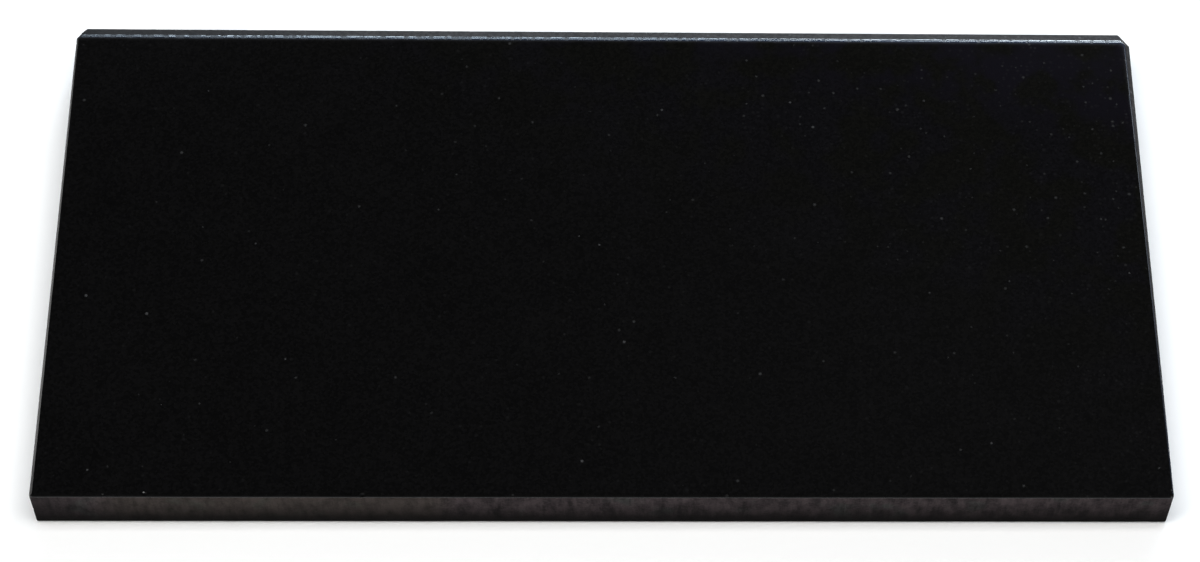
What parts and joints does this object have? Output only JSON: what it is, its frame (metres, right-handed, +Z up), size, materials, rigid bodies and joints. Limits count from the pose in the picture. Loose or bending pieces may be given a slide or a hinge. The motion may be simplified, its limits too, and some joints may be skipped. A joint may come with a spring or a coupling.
{
  "type": "flat headstone",
  "caption": "Flat rectangular headstone slab in polished black granite, with dressed arrises, a bevelled back edge and clipped back corners.",
  "frame": {"origin": "middle of the underside, on the ground that the slab lies on", "axes": "+X runs along the front edge to the right, +Y from the front edge to the bevelled back edge, +Z up through the polished face"},
  "size_m": [0.6, 0.3, 0.03],
  "materials": {
    "granite": "black granite: mirror-polished face, ground grey edges and bevel, sawn underside"
  },
  "bodies": {
    "root": {"slab": "granite"}
  },
  "joints": []
}
